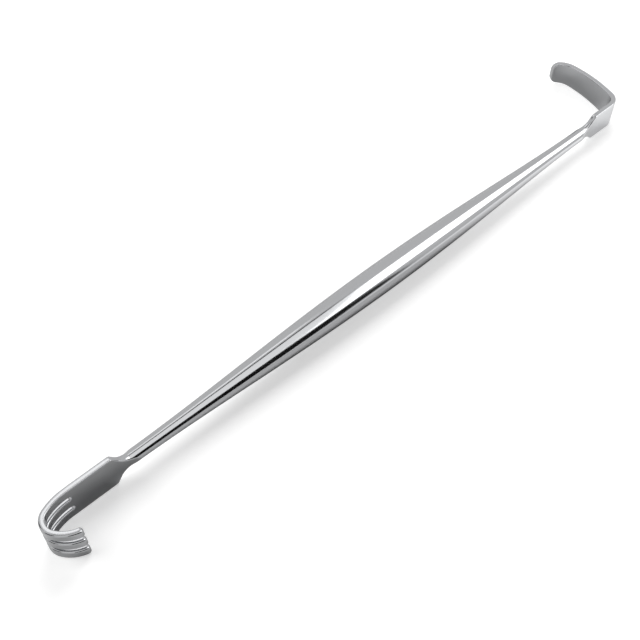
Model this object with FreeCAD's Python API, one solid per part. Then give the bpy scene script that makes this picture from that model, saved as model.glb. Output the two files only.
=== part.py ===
import FreeCAD, Part
import math
import os

os.makedirs("parts", exist_ok=True)

# A hand-held surgical retractor forged from one bar of stainless steel: a straight
# spindle handle, a three-pronged blunt rake at one end and a solid right-angled
# blade at the other, bent to opposite sides. It lies on its side, as on a table.
# X runs along the handle from the rake to the blade, the blade points to +Y and
# the prongs curl to -Y, and both widths stand upright along Z. Millimetres.

# Handle
spindle_length = 125.9      # from neck to neck
spindle_diameter = 6.3      # at the middle
neck_diameter = 2.75        # where each shoulder starts
shoulder_bend = 0.5         # where a shoulder's curve turns outward, in its length
grind_length = 5.0          # the shallow hollow from a plate's flat face to the round neck
grind_run_out = 0.05        # how far that hollow ends above the neck

# Rake end, a flat plate whose far part is slotted into prongs and curled over
rake_width = 8.8
rake_thickness = 1.15
rake_shoulder_length = 3.6  # from the neck to the square corner of the plate
rake_plate_length = 9.9     # flat part, from the corner to the first gentle bend
rake_sweep_radius = 11.0    # gentle bend before the curl, to mid thickness
rake_sweep_angle = 23.5
rake_curl_radius = 2.85     # the curl of the prongs, to mid thickness
rake_curl_angle = 99.5
prong_radius = 6.6          # the last part of each prong, to mid thickness
prong_angle = 47.0
prong_end_rounding = 0.45
prong_count = 3
slot_width = 1.2
slot_start = 8.9            # from the square corner to the round root of each slot

# Blade end, a solid strip turned up at a right angle with a lip at its tip
blade_width = 6.6           # at the shoulder and the bend
blade_tip_width = 5.4
blade_tip_rounding = 1.7    # the two corners of the lip
blade_thickness = 1.15
blade_shoulder_length = 3.5
blade_plate_length = 5.8    # from the corner to the bend
blade_bend_radius = 3.1
blade_bend_angle = 77.5
blade_straight_length = 2.0
blade_sweep_radius = 33.5
blade_sweep_angle = 17.0
blade_lip_radius = 4.8
blade_lip_angle = 61.0

edge_rounding = 0.3         # outer edges of the rake and all edges of the blade
plate_overlap = 1.0         # how far the bar's ends lie inside the two plates

# Places worked out from the sizes above
rake_neck_x = -spindle_length / 2
blade_neck_x = spindle_length / 2
rake_corner_x = rake_neck_x - rake_shoulder_length
blade_corner_x = blade_neck_x + blade_shoulder_length
rake_mid_z = rake_width / 2
blade_mid_z = blade_width / 2


def vec(x, y, z):
    return FreeCAD.Vector(x, y, z)


def line(start, end):
    return Part.LineSegment(start, end).toShape()


def bezier(*poles):
    curve = Part.BezierCurve()
    curve.setPoles(list(poles))
    return curve.toShape()


def strip(start, heading, moves, thickness, width):
    """A strip of even thickness stood on edge, following a path seen from above.

    Each move is ("line", length) or ("arc", radius, degrees), taken at mid
    thickness; a positive angle turns to the left.
    """
    x, y = start
    left, right = [], []
    for move in moves:
        side = vec(-math.sin(heading), math.cos(heading), 0) * (thickness / 2)
        here = vec(x, y, 0)
        if move[0] == "line":
            there = here + vec(math.cos(heading), math.sin(heading), 0) * move[1]
            left.append(line(here + side, there + side))
            right.append(line(here - side, there - side))
            x, y = there.x, there.y
            continue
        radius = move[1]
        turn = math.radians(move[2])
        centre = here + vec(-math.sin(heading), math.cos(heading), 0) * radius
        outward = [vec(math.sin(heading + turn * share), -math.cos(heading + turn * share), 0)
                   for share in (0.0, 0.5, 1.0)]
        left.append(Part.Arc(*[centre + way * (radius - thickness / 2) for way in outward]).toShape())
        right.append(Part.Arc(*[centre + way * (radius + thickness / 2) for way in outward]).toShape())
        end = centre + outward[2] * radius
        x, y = end.x, end.y
        heading += turn
    near = line(left[0].Vertexes[0].Point, right[0].Vertexes[0].Point)
    far = line(left[-1].Vertexes[-1].Point, right[-1].Vertexes[-1].Point)
    outline = Part.Wire(Part.__sortEdges__([near] + left + right + [far]))
    return Part.Face(outline).extrude(vec(0, 0, width)), vec(x, y, 0), heading


def sharp_edges(solid, corner_x):
    """Every edge where two faces meet at an angle, except round the end at corner_x."""
    found = []
    for edge in solid.Edges:
        middle = edge.valueAt((edge.FirstParameter + edge.LastParameter) / 2)
        normals = []
        for face in solid.ancestorsOfType(edge, Part.Face):
            u, v = face.Surface.parameter(middle)
            normals.append(face.normalAt(u, v))
        at_end = abs(middle.x - corner_x) < edge_rounding / 10
        if not at_end and math.degrees(normals[0].getAngle(normals[-1])) > 10:
            found.append(edge)
    return found


def bar():
    """One turned solid: the spindle, swelling between two necks, and a trumpet at each end."""
    neck = neck_diameter / 2
    swell = spindle_diameter / 2 - neck
    # The middle pole of a five-pole curve carries 3/8 of the height it is lifted by.
    edges = [bezier(vec(-spindle_length / 2, 0, neck), vec(-spindle_length / 4, 0, neck),
                    vec(0, 0, neck + swell * 8 / 3),
                    vec(spindle_length / 4, 0, neck), vec(spindle_length / 2, 0, neck))]
    ends = []
    for neck_x, corner_x, width in ((rake_neck_x, rake_corner_x, rake_width),
                                    (blade_neck_x, blade_corner_x, blade_width)):
        rim = width / 2 - edge_rounding
        bend_x = neck_x + (corner_x - neck_x) * shoulder_bend
        inside_x = corner_x + math.copysign(plate_overlap, corner_x)
        edges.append(bezier(vec(neck_x, 0, neck), vec(bend_x, 0, neck), vec(corner_x, 0, rim)))
        edges.append(line(vec(corner_x, 0, rim), vec(inside_x, 0, rim)))
        edges.append(line(vec(inside_x, 0, rim), vec(inside_x, 0, 0)))
        ends.append(vec(inside_x, 0, 0))
    edges.append(line(ends[0], ends[1]))
    outline = Part.Wire(Part.__sortEdges__(edges))
    solid = Part.Face(outline).revolve(vec(0, 0, 0), vec(1, 0, 0), 360)
    slope = math.degrees(math.atan2(rake_mid_z - blade_mid_z, spindle_length))
    solid.rotate(vec(0, 0, 0), vec(0, 1, 0), slope)
    solid.translate(vec(0, 0, (rake_mid_z + blade_mid_z) / 2))
    return solid


def grind(corner_x, thickness, side):
    """What is ground off one side of a shoulder: flat at the plate, hollow to the neck."""
    onward = math.copysign(1, corner_x)
    clear = rake_width + blade_width
    flat_y = thickness / 2
    rise = neck_diameter / 2 + grind_run_out - flat_y
    radius = (grind_length ** 2 + rise ** 2) / (2 * rise)
    half_turn = math.asin(grind_length / radius) / 2
    flat = vec(corner_x, side * flat_y, 0)
    middle = vec(corner_x - onward * radius * math.sin(half_turn),
                 side * (flat_y + radius * (1 - math.cos(half_turn))), 0)
    run_out = vec(corner_x - onward * grind_length, side * (flat_y + rise), 0)
    outer = vec(run_out.x, side * clear, 0)
    beyond = vec(corner_x + onward * clear, side * clear, 0)
    level = vec(beyond.x, side * flat_y, 0)
    outline = Part.Wire([line(level, flat), Part.Arc(flat, middle, run_out).toShape(),
                         line(run_out, outer), line(outer, beyond), line(beyond, level)])
    tool = Part.Face(outline).extrude(vec(0, 0, 3 * clear))
    tool.translate(vec(0, 0, -clear))
    return tool


def rake():
    """The plate and its prongs: one strip, slotted, with its edges eased."""
    moves = [("line", rake_plate_length),
             ("arc", rake_sweep_radius, rake_sweep_angle),
             ("arc", rake_curl_radius, rake_curl_angle),
             ("arc", prong_radius, prong_angle)]
    solid, tip, heading = strip((rake_corner_x, 0), math.pi, moves, rake_thickness, rake_width)
    prong_width = (rake_width - (prong_count - 1) * slot_width) / prong_count
    root_x = rake_corner_x - slot_start - slot_width / 2
    reach = rake_plate_length + rake_sweep_radius + 2 * rake_curl_radius + prong_radius
    for number in range(1, prong_count):
        low = number * prong_width + (number - 1) * slot_width
        slot = Part.makeBox(reach, 2 * reach, slot_width, vec(root_x - reach, -reach, low))
        root = Part.makeCylinder(slot_width / 2, 2 * reach,
                                 vec(root_x, -reach, low + slot_width / 2), vec(0, 1, 0))
        solid = solid.cut(slot.fuse(root))
    onward = vec(math.cos(heading), math.sin(heading), 0)
    sharp = sharp_edges(solid, rake_corner_x)
    ends = [edge for edge in sharp if abs((edge.CenterOfMass - tip).dot(onward)) < edge_rounding / 10]
    solid = solid.makeFillet(prong_end_rounding, ends)
    rims = [edge for edge in sharp_edges(solid, rake_corner_x)
            if abs(abs(edge.CenterOfMass.z - rake_mid_z) - rake_mid_z) < edge_rounding / 10]
    return solid.makeFillet(edge_rounding, rims)


def blade():
    """The solid blade: a strip that narrows from its bend to a round-ended lip."""
    moves = [("line", blade_plate_length),
             ("arc", blade_bend_radius, blade_bend_angle),
             ("line", blade_straight_length),
             ("arc", blade_sweep_radius, blade_sweep_angle),
             ("arc", blade_lip_radius, blade_lip_angle)]
    solid, tip, heading = strip((blade_corner_x, 0), 0, moves, blade_thickness, blade_width)
    far_x = blade_corner_x + blade_plate_length + 2 * blade_bend_radius + blade_thickness
    narrowing = (blade_width - blade_tip_width) / 2
    for edge_z, inward in ((0, 1), (blade_width, -1)):
        start = vec(far_x, 0, edge_z)
        end = vec(far_x, tip.y, edge_z + inward * narrowing)
        beyond = end + (end - start)
        corner = vec(far_x, beyond.y, edge_z)
        wedge = Part.Face(Part.Wire([line(start, beyond), line(beyond, corner), line(corner, start)]))
        solid = solid.cut(wedge.extrude(vec(blade_corner_x - far_x, 0, 0)))
    onward = vec(math.cos(heading), math.sin(heading), 0)
    corners = [edge for edge in sharp_edges(solid, blade_corner_x)
               if abs((edge.CenterOfMass - tip).dot(onward)) < edge_rounding / 10
               and edge.Length < blade_tip_width / 2]
    solid = solid.makeFillet(blade_tip_rounding, corners)
    return solid.makeFillet(edge_rounding, sharp_edges(solid, blade_corner_x))


forged_bar = bar().cut([grind(corner_x, thickness, side)
                        for corner_x, thickness in ((rake_corner_x, rake_thickness),
                                                    (blade_corner_x, blade_thickness))
                        for side in (-1, 1)])
retractor = forged_bar.fuse([rake(), blade()]).removeSplitter()
box = retractor.optimalBoundingBox(False, False)
retractor.translate(vec(-box.Center.x, -box.Center.y, -box.ZMin))
retractor.exportStep("parts/retractor.step")
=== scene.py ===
import math
import bmesh
import bpy
import numpy as np
from mathutils import Matrix


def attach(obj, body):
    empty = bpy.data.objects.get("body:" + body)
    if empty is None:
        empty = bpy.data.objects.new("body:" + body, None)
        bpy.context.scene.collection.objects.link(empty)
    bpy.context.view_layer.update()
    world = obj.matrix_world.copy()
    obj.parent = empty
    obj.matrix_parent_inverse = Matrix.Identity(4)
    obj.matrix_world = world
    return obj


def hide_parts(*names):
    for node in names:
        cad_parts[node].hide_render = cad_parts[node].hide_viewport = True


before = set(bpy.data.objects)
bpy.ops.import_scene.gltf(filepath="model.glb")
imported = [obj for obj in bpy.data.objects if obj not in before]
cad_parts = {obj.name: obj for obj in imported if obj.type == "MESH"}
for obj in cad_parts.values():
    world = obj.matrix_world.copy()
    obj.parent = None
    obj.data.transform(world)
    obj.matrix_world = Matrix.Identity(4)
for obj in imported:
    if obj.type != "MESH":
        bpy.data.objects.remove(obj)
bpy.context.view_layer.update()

# The handle is the middle of one bar of stainless steel, forged and turned to a long
# spindle. Past each neck it flares up and down to the width of a plate, while both its
# sides are ground hollow, down to the plate's flat faces. Lengths are in millimetres.

MM = 0.001
spindle_middle = (3.0232, -5.1031, 0.0)   # its place in the part's own frame
spindle_length = 125.9
spindle_radius = 3.15
neck_radius = 1.375
rake_half_width, blade_half_width = 4.4, 3.3
rake_shoulder, blade_shoulder = 3.6, 3.5  # from each neck to the plate's corner
half_thickness = 0.575                    # of both plates
edge_rounding = 0.2                       # along the plates' edges
shoulder_rounding = 0.5                   # along a shoulder's edges, away from the plate
shoulder_fade = 1.2                       # over which the one rounding becomes the other
corner_ease = 0.22                        # softness of the shoulder's outer corner
grind_length = 5.0                        # of the hollow ground into each side
grind_run_out = 0.05                      # how far the hollow ends above the neck
overlap = 1.0                             # how far the bar runs on inside a plate
closer = 2.0                              # from here to the neck the stations lie closer


def grid(points):
    """Quads between the neighbours of a (rows, columns, 3) array of points."""
    rows, columns = points.shape[:2]
    at = np.arange(rows * columns).reshape(rows, columns)
    quads = np.stack([at[:-1, :-1], at[1:, :-1], at[1:, 1:], at[:-1, 1:]], axis=-1)
    return points.reshape(-1, 3), quads.reshape(-1, 4)


def bar_section(x):
    """Radius, half thickness, axis height and edge rounding of the bar at x from its middle.

    The radius is neck + swell (1 - (2x / length)^2)^2 on the spindle. Past a neck it is
    neck + (half width - neck) t^2, with t the way along the shoulder, eased into the half
    width at t = 1. The half thickness is a circular hollow that starts level with the
    plate, at the shoulder's corner.
    """
    onward = np.abs(x) - spindle_length / 2
    half_width = np.where(x < 0, rake_half_width, blade_half_width)
    shoulder = np.where(x < 0, rake_shoulder, blade_shoulder)
    way = np.minimum(np.abs(2 * x / spindle_length), 1)
    spindle = neck_radius + (spindle_radius - neck_radius) * (1 - way ** 2) ** 2
    flare = neck_radius + (half_width - neck_radius) * (np.maximum(onward, 0) / shoulder) ** 2
    eased = (flare + half_width - np.sqrt((flare - half_width) ** 2 + corner_ease ** 2)) / 2
    radius = np.where(onward < 0, spindle, np.minimum(flare, eased))
    before_plate = shoulder - onward
    rise = neck_radius + grind_run_out - half_thickness
    hollow = (grind_length ** 2 + rise ** 2) / (2 * rise)
    thick = half_thickness + hollow - np.sqrt(hollow ** 2 - np.clip(before_plate, 0, grind_length) ** 2)
    thick = np.where(before_plate > grind_length, 2 * spindle_radius, thick)
    share = np.clip(x / spindle_length, -0.5, 0.5)
    height = (rake_half_width + blade_half_width) / 2 - (rake_half_width - blade_half_width) * share
    fade = np.clip(before_plate / shoulder_fade, 0, 1) ** 2
    return radius, thick, height, edge_rounding + (shoulder_rounding - edge_rounding) * fade


def bar():
    """The bar's surface, as grids. Its section is a disc cut off at both sides and
    rounded, which is a smaller disc within a thinner slab, grown outward by the edge
    rounding. The angle of the surface's own normal is the parameter round it."""
    ends = spindle_length / 2 - closer
    x = np.concatenate([
        np.linspace(-spindle_length / 2 - rake_shoulder - overlap, -ends, 90),
        np.linspace(-ends, ends, 190)[1:-1],
        np.linspace(ends, spindle_length / 2 + blade_shoulder + overlap, 90)])
    radius, thick, height, rounding = (value[:, None] for value in bar_section(x))
    way = np.radians(np.linspace(-90, 90, 49))
    cut = np.arcsin(np.clip((thick - rounding) / (radius - rounding), 0, 1))
    turned = np.abs(way) <= cut
    flat_half = (radius - rounding) * np.cos(cut)
    across = np.where(turned, radius * np.sin(way),
                      np.sign(way) * (thick - rounding) + rounding * np.sin(way))
    up = np.where(turned, radius * np.cos(way), flat_half + rounding * np.cos(way))
    along = np.broadcast_to(x[:, None], across.shape)
    made = []
    for side in (1, -1):
        made.append(np.stack([along, across, height + side * up], axis=-1))
        z = height + flat_half * np.cos(np.linspace(0, math.pi, 19))
        y = np.broadcast_to(side * across[:, -1:], z.shape)
        made.append(np.stack([np.broadcast_to(x[:, None], z.shape), y, z], axis=-1))
    for row in (0, -1):
        made.append(np.stack([made[0][row], made[2][row]]))
    return made


sheets = bar()

# The rake is the bar's end, forged to a flat plate that stands on edge, slotted into
# three prongs and curled over. The slots have round roots, the prongs' outer sides are
# rounded over, and their ends are blunt, so that they hold tissue without piercing it.

rake_path = [("line", 9.9), ("arc", 11.0, 23.5), ("arc", 2.85, 99.5), ("arc", 6.6, 47.0)]
prong_count = 3
slot_start, slot_width = 8.9, 1.2
slot_rounding = 0.26                      # along the slots, inside the hook
slot_fade = 0.5                           # over which it starts, at the slot's root
curl_rounding = 0.42                      # over a prong's outer side, all along the curl
curl_fade, curl_fade_power = 5.0, 0.7     # how it grows along the prong
prong_end_rounding = 0.45
prong_corner = 0.62                       # corner of a prong's end, seen flat


def path_length(path):
    """The sum of the lines' lengths and of the arcs' radius times angle."""
    return sum(move[1] if move[0] == "line" else move[1] * math.radians(move[2]) for move in path)


def bend(path, start, heading, u, w):
    """Where a point of the flat blank lies once the blank is bent.

    u is the way along the middle of the thickness and w the distance to its left.
    Each stretch is a line or a circular arc: dx = (sin(h + ks) - sin h) / k and
    dy = (cos h - cos(h + ks)) / k, with curvature k, and h the heading before it.
    """
    x = np.full(u.shape, float(start))
    y = np.zeros(u.shape)
    passed = 0.0
    turned = np.full(u.shape, heading)
    for move in path:
        length = path_length([move])
        s = np.maximum(u - passed, 0) if move is path[-1] else np.clip(u - passed, 0, length)
        if move[0] == "line":
            x += s * math.cos(heading)
            y += s * math.sin(heading)
        else:
            k = 1 / move[1]
            x += (np.sin(heading + k * s) - math.sin(heading)) / k
            y += (math.cos(heading) - np.cos(heading + k * s)) / k
            turned = turned + k * s
            heading += math.radians(move[2])
        passed += length
    return x - w * np.sin(turned), y + w * np.cos(turned)


def corner_loss(radius, before_end):
    """What a round corner takes from one side: r - sqrt(r^2 - d^2), with d the way
    into the corner, which starts r before the end."""
    into = radius - before_end
    return np.where(into < 0, 0, radius - np.sqrt(np.clip(radius ** 2 - into ** 2, 0, None)))


def blank(u, low, high, front, back, place):
    """A flat forged blank with rounded edges, as grids, once it is bent.

    Row i runs across at u[i] from low[i] to high[i], and the last row is the free
    end. The rim is an inset outline grown out again by r sin(a), at a height of
    half thickness - r (1 - cos(a)), for a from 0 to 90 degrees. front and back
    give r for each point of the outline on the two faces; place bends the points.
    """
    across = (1 - np.cos(np.linspace(0, math.pi, 15))) / 2
    left = np.stack([u, low], axis=-1)
    right = np.stack([u, high], axis=-1)
    end = np.stack([np.full(across.shape, u[-1]), low[-1] + (high[-1] - low[-1]) * across], axis=-1)
    outline = np.concatenate([left, end[1:-1], right[::-1]])
    step = np.gradient(outline, axis=0)
    step /= np.linalg.norm(step, axis=1, keepdims=True)
    outward = np.stack([step[:, 1], -step[:, 0]], axis=-1)
    a = np.radians(np.linspace(0, 90, 8))
    rows = len(u)
    rims, made = [], []
    for side, rounding in ((1, front), (-1, back)):
        radius = rounding(outline)[:, None]
        inner = outline - outward * radius
        inset = radius[:, :, None] * (1 - np.sin(a))[None, :, None]
        rim = outline[:, None, :] - outward[:, None, :] * inset
        level = side * (half_thickness - radius * (1 - np.cos(a)))
        rims.append(np.concatenate([rim, level[:, :, None]], axis=-1)[:, ::side])
        near, far = inner[:rows], inner[-rows:][::-1]
        face = near[:, None, :] * (1 - across[None, :, None]) + far[:, None, :] * across[None, :, None]
        flat = np.full(face.shape[:2] + (1,), side * half_thickness)
        made.append(np.concatenate([face, flat], axis=-1))
    rim = np.concatenate(rims, axis=1)
    made += [rim, np.stack([rim[0], rim[-1]])]
    bent = []
    for sheet in made:
        x, y = place(sheet[..., 0], sheet[..., 2])
        bent.append(np.stack([x, y, sheet[..., 1]], axis=-1))
    return bent


def rake_place(u, w):
    """The rake's blank starts at its shoulder's corner and heads away from the handle."""
    return bend(rake_path, -spindle_length / 2 - rake_shoulder, math.pi, u, w)


rake_length = path_length(rake_path)


def prong(number):
    """One prong with the share of the plate behind it: its sides part along the
    quarter circles of the slots' round roots and close in at the rounded end."""
    width = (2 * rake_half_width - (prong_count - 1) * slot_width) / prong_count
    low = number * (width + slot_width)
    high = low + width
    quarter = np.radians(np.linspace(0, 90, 13))
    root = slot_start + slot_width / 2 * (1 - np.cos(quarter))
    tip = rake_length - prong_corner * (1 - np.sin(quarter))
    u = np.concatenate([np.linspace(overlap, slot_start, 18)[:-1], root,
                        np.linspace(root[-1], tip[0], 150)[1:-1], tip])
    into = np.clip(slot_start + slot_width / 2 - u, 0, slot_width / 2)
    shared = slot_width / 2 - np.sqrt((slot_width / 2) ** 2 - into ** 2)
    close = corner_loss(prong_corner, rake_length - u)
    left = low - (shared if number > 0 else 0) + close
    right = high + (shared if number < prong_count - 1 else 0) - close

    def rounding(outline, rim, slot):
        first_side = outline[:, 1] < (low + high) / 2
        free = np.where(first_side, number == 0, number == prong_count - 1)
        opened = np.clip((outline[:, 0] - slot_start) / slot_fade, 0, 1)
        curled = np.clip((outline[:, 0] - slot_start) / curl_fade, 0, 1) ** curl_fade_power
        sides = np.where(free, edge_rounding + (rim - edge_rounding) * curled,
                         slot_rounding * opened + (slot - slot_rounding) * curled)
        ending = np.clip((outline[:, 0] - (rake_length - prong_corner)) / prong_corner, 0, 1)
        return sides + (prong_end_rounding - sides) * (1 - np.sqrt(1 - ending ** 2)) ** 0.5

    return blank(u, left, right,
                 lambda outline: rounding(outline, edge_rounding, slot_rounding),
                 lambda outline: rounding(outline, curl_rounding, curl_rounding), rake_place)


for number in range(prong_count):
    sheets += prong(number)

# The blade is the bar's other end, forged to a solid strip of even thickness and bent
# up at a right angle. It narrows from the bend to a lip with two round corners, and
# every edge is eased.

blade_path = [("line", 5.8), ("arc", 3.1, 77.5), ("line", 2.0), ("arc", 33.5, 17.0), ("arc", 4.8, 61.0)]
blade_narrowing = 0.6                     # lost from each side by the tip
lip_corner = 1.7


def blade_place(u, w):
    """The blade's blank starts at its shoulder's corner and heads away from the handle."""
    return bend(blade_path, spindle_length / 2 + blade_shoulder, 0.0, u, w)


def blade():
    """The whole blade. Its half width falls off in proportion to how far the bent strip
    has reached out from the handle, and the two corners of the lip are quarter circles."""
    length = path_length(blade_path)
    tip = length - lip_corner * (1 - np.sin(np.radians(np.linspace(0, 90, 31))))
    plate_end = blade_path[0][1]
    u = np.concatenate([np.linspace(overlap, plate_end, 8)[:-1],
                        np.linspace(plate_end, tip[0], 150)[:-1], tip])
    reach = blade_place(u, 0 * u)[1]
    half = blade_half_width - blade_narrowing * reach / reach[-1] - corner_loss(lip_corner, length - u)

    def rounding(outline):
        return np.full(len(outline), edge_rounding)

    return blank(u, blade_half_width - half, blade_half_width + half, rounding, rounding, blade_place)


sheets += blade()

# The handle, the rake and the blade are one forging, with no seam or fastener, so they
# are one mesh. It is medical stainless steel, polished all over on a soft wheel.


def joined(grids):
    """Points and quads of several grids, one after the other."""
    points, quads, count = [], [], 0
    for one in grids:
        at, faces = grid(one)
        points.append(at)
        quads.append(faces + count)
        count += len(at)
    return np.concatenate(points), np.concatenate(quads)


merge_distance = 2e-7
crease_angle = 40
points, quads = joined(sheets)
points = (points + spindle_middle) * MM
mesh = bpy.data.meshes.new("forged_retractor")
mesh.from_pydata(points.tolist(), [], quads.tolist())
work = bmesh.new()
work.from_mesh(mesh)
bmesh.ops.remove_doubles(work, verts=work.verts, dist=merge_distance)
bmesh.ops.dissolve_degenerate(work, edges=work.edges, dist=merge_distance / 20)
bmesh.ops.recalc_face_normals(work, faces=work.faces)
work.to_mesh(mesh)
work.free()
mesh.shade_smooth()
mesh.set_sharp_from_angle(angle=math.radians(crease_angle))
retractor = bpy.data.objects.new("forged_retractor", mesh)
bpy.context.scene.collection.objects.link(retractor)
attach(retractor, "root")
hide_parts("retractor")


def linear(code):
    """A hex sRGB colour as linear light, with alpha."""
    part = [int(code[at:at + 2], 16) / 255 for at in (1, 3, 5)]
    return [c / 12.92 if c < 0.04045 else ((c + 0.055) / 1.055) ** 2.4 for c in part] + [1.0]


def material_tree(name):
    """A new material and its empty node tree."""
    material = bpy.data.materials.new(name)
    material.use_nodes = True
    material.node_tree.nodes.clear()
    return material, material.node_tree


def add(tree, kind, settings=None, links=None):
    """A node of this kind, its inputs or properties set, and its inputs linked."""
    node = tree.nodes.new(kind)
    for name, value in (settings or {}).items():
        if name in node.inputs:
            node.inputs[name].default_value = value
        else:
            setattr(node, name, value)
    for name, source in (links or {}).items():
        tree.links.new(source, node.inputs[name])
    return node


# Polished stainless steel gives the eye clear but slightly soft reflections in a neutral,
# faintly cool grey. The wheel leaves hair lines along the bar. The real ones are about
# 0.01 mm wide and would not show, so they are drawn 0.25 mm wide, and very shallow.
grain_width = 0.25
grain_stretch = 0.03                      # its width as a share of its length
grain_depth = 0.02
least_roughness, most_roughness = 0.1, 0.16
steel, tree = material_tree("polished_stainless_steel")
place = add(tree, "ShaderNodeTexCoord")
lengthwise = add(tree, "ShaderNodeMapping", {"Scale": (grain_stretch, 1, 1)},
                 {"Vector": place.outputs["Object"]})
grain = add(tree, "ShaderNodeTexNoise", {"Scale": 1 / (grain_width * MM), "Detail": 3.0},
            {"Vector": lengthwise.outputs["Vector"]})
gloss = add(tree, "ShaderNodeMapRange", {"To Min": least_roughness, "To Max": most_roughness},
            {"Value": grain.outputs["Fac"]})
relief = add(tree, "ShaderNodeBump", {"Strength": 0.03, "Distance": grain_depth * MM},
             {"Height": grain.outputs["Fac"]})
shine = add(tree, "ShaderNodeBsdfPrincipled", {"Base Color": linear("#c9cacc"), "Metallic": 1.0},
            {"Roughness": gloss.outputs["Result"], "Normal": relief.outputs["Normal"]})
add(tree, "ShaderNodeOutputMaterial", None, {"Surface": shine.outputs["BSDF"]})
mesh.materials.append(steel)

# The floor is a sheet of matt white paper that the retractor lies on. It looks white and keeps the shadow.
# What the steel sees of it carries a painted reflection: a glow that only the steel sees, brighter in
# front of the blade's end and none toward the rake. Lengths are in metres.

floor_half = 3
floor_mesh = bpy.data.meshes.new("floor")
floor_mesh.from_pydata([(-floor_half, -floor_half, 0), (floor_half, -floor_half, 0),
                        (floor_half, floor_half, 0), (-floor_half, floor_half, 0)], [], [(0, 1, 2, 3)])
floor = bpy.data.objects.new("floor", floor_mesh)
bpy.context.scene.collection.objects.link(floor)
paper, tree = material_tree("white_paper")
matt = add(tree, "ShaderNodeBsdfDiffuse", {"Color": linear("#c8c8c8")})
spot = add(tree, "ShaderNodeTexCoord")
axes = add(tree, "ShaderNodeSeparateXYZ", None, {"Vector": spot.outputs["Object"]})
# Painted reflection: a glow on the paper that only the steel sees, growing toward the blade's end and only
# in front of it.
toward_blade = add(tree, "ShaderNodeMapRange",
                   {"From Min": 0.02, "From Max": 0.072, "To Min": 0.0, "To Max": 0.75},
                   {"Value": axes.outputs["X"]})
in_front = add(tree, "ShaderNodeMapRange",
               {"From Min": -0.01, "From Max": 0.002, "To Min": 1.0, "To Max": 0.0},
               {"Value": axes.outputs["Y"]})
path = add(tree, "ShaderNodeLightPath")
painted_reflection = add(tree, "ShaderNodeMath", {"operation": "MULTIPLY"},
           {0: toward_blade.outputs["Result"], 1: in_front.outputs["Result"]})
seen = add(tree, "ShaderNodeMath", {"operation": "MAXIMUM"},
           {0: path.outputs["Is Glossy Ray"], 1: path.outputs["Is Transmission Ray"]})
mirrored = add(tree, "ShaderNodeMath", {"operation": "MULTIPLY"}, {0: seen.outputs[0], 1: painted_reflection.outputs[0]})
# Painted light: the paper's white glow for the picture grows toward the blade's end, so the shadow there
# is paler.
white_lift_and_painted_light = add(tree, "ShaderNodeMapRange",
             {"From Min": -0.02, "From Max": 0.06, "To Min": 0.53, "To Max": 0.64},
             {"Value": axes.outputs["X"]})
lift = add(tree, "ShaderNodeMath", {"operation": "MULTIPLY_ADD"},
           {0: path.outputs["Is Camera Ray"], 1: white_lift_and_painted_light.outputs["Result"], 2: mirrored.outputs[0]})
glow = add(tree, "ShaderNodeEmission", None, {"Strength": lift.outputs[0]})
both = add(tree, "ShaderNodeAddShader", None, {0: matt.outputs["BSDF"], 1: glow.outputs["Emission"]})
add(tree, "ShaderNodeOutputMaterial", None, {"Surface": both.outputs["Shader"]})
floor_mesh.materials.append(paper)

# Six soft lamps stand round the table. Two windows behind the handle light the floor and
# throw its shadow forward. The softbox, the cards and the curtain are seen only by the
# steel, and draw the white and grey bands along the spindle. Lengths are in metres.

lamp_height = 0.62


def lamp(name, place, aim, size, radiance, on_floor=True, on_steel=True):
    """A soft rectangular lamp that faces a point; size in metres, radiance where 1 is white."""
    data = bpy.data.lights.new(name, "AREA")
    data.shape = "RECTANGLE"
    data.size, data.size_y = size
    data.energy = radiance * math.pi * size[0] * size[1]
    made = bpy.data.objects.new(name, data)
    bpy.context.scene.collection.objects.link(made)
    made.location = place
    back = np.array(place, float) - np.array(aim, float)
    back /= np.linalg.norm(back)
    right = np.cross((0, 1, 0), back)
    right /= np.linalg.norm(right)
    up = np.cross(back, right)
    made.rotation_mode = "QUATERNION"
    made.rotation_quaternion = Matrix(np.stack([right, up, back], axis=1).tolist()).to_quaternion()
    made.visible_diffuse = on_floor
    made.visible_glossy = on_steel


for name, x, y, size, radiance in (("overhead_softbox", 0.585, -0.311, (0.6, 0.708), 2.2),
                                   ("ceiling_card", 0.0925, -0.311, (0.385, 0.708), 0.4),
                                   ("side_card", 0.085, 0.335, (0.3, 0.13), 0.8)):
    lamp(name, (x, y, lamp_height), (x, y, 0), size, radiance, on_floor=False)
near_window, far_window = (-0.5, 0.42, 0.56), (0.5, 0.42, 0.56)
table_middle = (0, 0, 0)
window_size = (0.6, 0.6)
lamp("window_light", near_window, table_middle, window_size, 4.8, on_steel=False)
lamp("window_curtain", near_window, table_middle, window_size, 1.6, on_floor=False)
lamp("far_window_light", far_window, table_middle, window_size, 5.0, on_steel=False)

# Sheets of black felt hang upright before the table and beyond the rake, and one edges
# the softbox overhead. Only the steel sees them, as the dark lines along its curves.
# Lengths are in metres.

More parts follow.
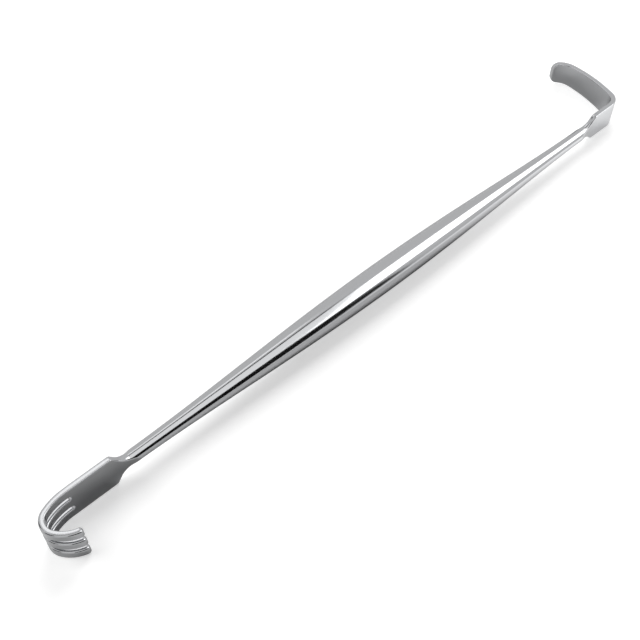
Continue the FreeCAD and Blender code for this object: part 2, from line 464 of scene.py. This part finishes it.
felt, tree = material_tree("black_felt")
matt = add(tree, "ShaderNodeBsdfDiffuse", {"Color": linear("#101010")})
add(tree, "ShaderNodeOutputMaterial", None, {"Surface": matt.outputs["BSDF"]})
for name, corners in (
        ("front_flag", [(-0.5, -0.5, 0.075), (0.3, -0.5, 0.075),
                        (0.3, -0.5, 0.4), (-0.5, -0.5, 0.4)]),
        ("near_flag", [(-0.5, -0.49, 0.035), (0.19, -0.49, 0.035),
                       (0.19, -0.49, 0.46), (-0.5, -0.49, 0.46)]),
        ("left_flag", [(-0.5, -0.15, 0.1), (-0.5, 0.1, 0.1),
                       (-0.5, 0.1, 0.42), (-0.5, -0.15, 0.42)]),
        ("corner_flag", [(-0.42, 0.27, 0.04), (-0.42, 0.52, 0.04),
                         (-0.42, 0.52, 0.6), (-0.42, 0.27, 0.6)]),
        ("softbox_frame", [(-0.3, 0.05, lamp_height), (0.25, 0.05, lamp_height),
                           (0.25, 0.14, lamp_height), (-0.3, 0.14, lamp_height)])):
    sheet = bpy.data.meshes.new(name)
    sheet.from_pydata(corners, [], [(0, 1, 2, 3)])
    sheet.materials.append(felt)
    flag = bpy.data.objects.new(name, sheet)
    bpy.context.scene.collection.objects.link(flag)
    flag.visible_camera = flag.visible_shadow = flag.visible_diffuse = False

# The room round the table is plain white. The picture and the steel see it at one level,
# and it lights the paper at a lower one, so that the retractor's shadow stays.

world = bpy.data.worlds.new("white_room")
bpy.context.scene.world = world
world.use_nodes = True
tree = world.node_tree
tree.nodes.clear()
path = add(tree, "ShaderNodeLightPath")
seen = add(tree, "ShaderNodeMath", {"operation": "MAXIMUM"},
           {0: path.outputs["Is Camera Ray"], 1: path.outputs["Is Glossy Ray"]})
seen_through = add(tree, "ShaderNodeMath", {"operation": "MAXIMUM"},
                   {0: seen.outputs[0], 1: path.outputs["Is Transmission Ray"]})
level = add(tree, "ShaderNodeMapRange", {"To Min": 0.2, "To Max": 0.7}, {"Value": seen_through.outputs[0]})
room = add(tree, "ShaderNodeBackground", {"Color": (1, 1, 1, 1)}, {"Strength": level.outputs["Result"]})
add(tree, "ShaderNodeOutputWorld", None, {"Surface": room.outputs["Background"]})

# The camera stands over the rake's end and looks down and along the handle. Its place is
# in millimetres of the part's frame, and its focal length in pixels of the picture.

camera_place = (-95.404, -96.050, 172.498)
camera_right = np.array([0.744997, -0.667069, 0.0])
looking_down = math.radians(54)
focal_pixels, picture_width = 1052.57, 640
scene = bpy.context.scene
scene.view_settings.view_transform = "Standard"
camera_data = bpy.data.cameras.new("camera")
camera_data.sensor_width = 36
camera_data.lens = focal_pixels * camera_data.sensor_width / picture_width
camera_data.clip_start, camera_data.clip_end = 0.01, 20
camera = bpy.data.objects.new("camera", camera_data)
scene.collection.objects.link(camera)
camera_ahead = np.array([-camera_right[1], camera_right[0], 0.0])
camera_back = -camera_ahead * math.cos(looking_down) + np.array([0, 0, math.sin(looking_down)])
turn = np.eye(4)
turn[:3, 0], turn[:3, 1], turn[:3, 2] = camera_right, np.cross(camera_back, camera_right), camera_back
turn[:3, 3] = np.array(camera_place) * MM
camera.matrix_world = Matrix(turn.tolist())
scene.camera = camera
